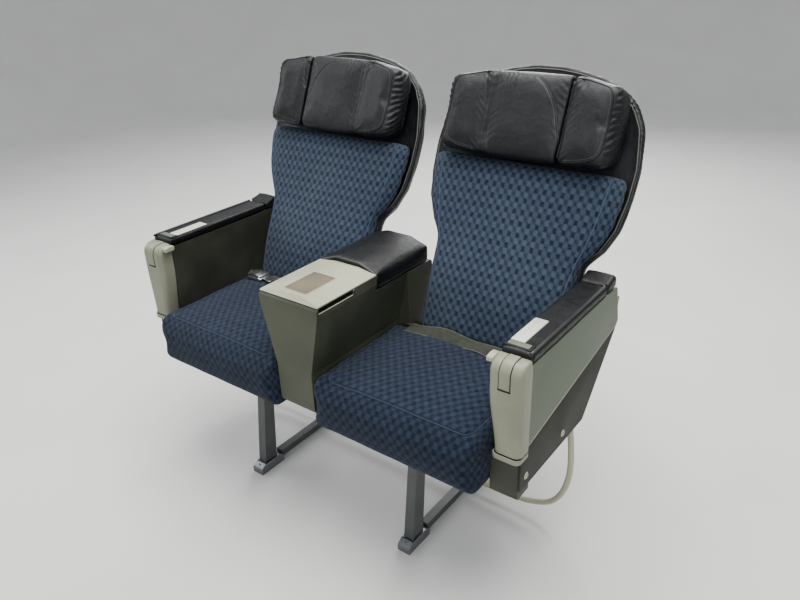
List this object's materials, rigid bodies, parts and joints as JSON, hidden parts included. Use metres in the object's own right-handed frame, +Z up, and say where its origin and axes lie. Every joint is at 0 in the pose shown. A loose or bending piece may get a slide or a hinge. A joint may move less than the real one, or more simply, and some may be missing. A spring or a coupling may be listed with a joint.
{
  "type": "two-abreast aircraft passenger seat",
  "caption": "Wide cabin seat pair with a centre console, reclining backs, sliding winged headrests, lidded armrests, lap belts and a floor track frame.",
  "frame": {"origin": "on the floor under the middle of the unit", "axes": "+Z up, +X to the sitter's left across the two seats, the seats face -Y"},
  "size_m": [1.168, 0.7177, 1.1068],
  "materials": {
    "blue_fabric": "flat woven wool blend, steel blue with navy squares",
    "black_leather": "grained, semi-matt",
    "cream_plastic": "fine texture, satin",
    "cream_paint": "satin enamel",
    "grey_green_plastic": "fine texture",
    "olive_plastic": "grained",
    "taupe_mat": "ribbed, matt",
    "aluminium_tube": "anodised",
    "leg_paint": "satin grey enamel",
    "track_metal": "machined",
    "webbing": "woven nylon",
    "buckle_chrome": "polished, lightly scratched"
  },
  "bodies": {
    "base": {"front_cross_tube": "aluminium_tube", "rear_cross_tube": "aluminium_tube", "luggage_bar": "cream_paint", "console_body": "olive_plastic", "console_top": "cream_plastic", "console_mat": "taupe_mat", "console_pad": "black_leather", "aisle_front_leg": "leg_paint", "aisle_rear_leg": "leg_paint", "aisle_leg_brace": "leg_paint", "aisle_front_track_fitting": "track_metal", "aisle_rear_track_fitting": "track_metal", "aisle_tie_rail": "leg_paint", "aisle_seat_pan": "aluminium_tube", "aisle_seat_cushion": "blue_fabric", "aisle_belt_long_strap": "webbing", "aisle_belt_short_strap": "webbing", "aisle_belt_tongue": "buckle_chrome", "aisle_belt_buckle": "buckle_chrome", "aisle_arm_box": "olive_plastic", "aisle_arm_rear_pad": "black_leather", "aisle_arm_outer_panel": "grey_green_plastic", "aisle_arm_lower_panel": "olive_plastic", "aisle_arm_front_cap": "cream_plastic", "aisle_tray_leaf": "cream_plastic", "aisle_recline_lever": "cream_plastic", "window_front_leg": "leg_paint", "window_rear_leg": "leg_paint", "window_leg_brace": "leg_paint", "window_front_track_fitting": "track_metal", "window_rear_track_fitting": "track_metal", "window_tie_rail": "leg_paint", "window_seat_pan": "aluminium_tube", "window_seat_cushion": "blue_fabric", "window_belt_long_strap": "webbing", "window_belt_short_strap": "webbing", "window_belt_tongue": "buckle_chrome", "window_belt_buckle": "buckle_chrome", "window_arm_box": "olive_plastic", "window_arm_rear_pad": "black_leather", "window_arm_outer_panel": "grey_green_plastic", "window_arm_lower_panel": "olive_plastic", "window_arm_front_cap": "cream_plastic", "window_tray_leaf": "cream_plastic", "window_recline_lever": "cream_plastic"},
    "aisle_back": {"aisle_back_shell": "black_leather", "aisle_back_cushion": "blue_fabric", "aisle_literature_pocket": "black_leather"},
    "aisle_headrest": {"aisle_headrest_centre": "black_leather"},
    "aisle_right_wing": {"aisle_headrest_right_wing": "black_leather"},
    "aisle_left_wing": {"aisle_headrest_left_wing": "black_leather"},
    "aisle_lid": {"aisle_arm_lid": "black_leather"},
    "window_back": {"window_back_shell": "black_leather", "window_back_cushion": "blue_fabric", "window_literature_pocket": "black_leather"},
    "window_headrest": {"window_headrest_centre": "black_leather"},
    "window_right_wing": {"window_headrest_right_wing": "black_leather"},
    "window_left_wing": {"window_headrest_left_wing": "black_leather"},
    "window_lid": {"window_arm_lid": "black_leather"}
  },
  "joints": [
    {"name": "aisle_recline", "type": "hinge", "parent": "base", "child": "aisle_back", "pos_m": [0.302, 0.075, 0.44], "axis": [-1, 0, 0], "range_deg": [0, 14]},
    {"name": "aisle_headrest_height", "type": "slide", "parent": "aisle_back", "child": "aisle_headrest", "axis": [0, 0.3955, 0.9184], "range_m": [0, 0.07]},
    {"name": "aisle_right_wing_fold", "type": "hinge", "parent": "aisle_headrest", "child": "aisle_right_wing", "pos_m": [0.402, 0.20865, 1.01831], "axis": [0, -0.3955, -0.9184], "range_deg": [0, 35]},
    {"name": "aisle_left_wing_fold", "type": "hinge", "parent": "aisle_headrest", "child": "aisle_left_wing", "pos_m": [0.202, 0.20865, 1.01831], "axis": [0, 0.3955, 0.9184], "range_deg": [0, 35]},
    {"name": "aisle_lid_hinge", "type": "hinge", "parent": "base", "child": "aisle_lid", "pos_m": [0.583, 0, 0.655], "axis": [0, 1, 0], "range_deg": [0, 90]},
    {"name": "window_recline", "type": "hinge", "parent": "base", "child": "window_back", "pos_m": [-0.302, 0.075, 0.44], "axis": [-1, 0, 0], "range_deg": [0, 14]},
    {"name": "window_headrest_height", "type": "slide", "parent": "window_back", "child": "window_headrest", "axis": [0, 0.3955, 0.9184], "range_m": [0, 0.07]},
    {"name": "window_right_wing_fold", "type": "hinge", "parent": "window_headrest", "child": "window_right_wing", "pos_m": [-0.202, 0.20865, 1.01831], "axis": [0, -0.3955, -0.9184], "range_deg": [0, 35]},
    {"name": "window_left_wing_fold", "type": "hinge", "parent": "window_headrest", "child": "window_left_wing", "pos_m": [-0.402, 0.20865, 1.01831], "axis": [0, 0.3955, 0.9184], "range_deg": [0, 35]},
    {"name": "window_lid_hinge", "type": "hinge", "parent": "base", "child": "window_lid", "pos_m": [-0.583, 0, 0.655], "axis": [0, -1, 0], "range_deg": [0, 90]}
  ]
}
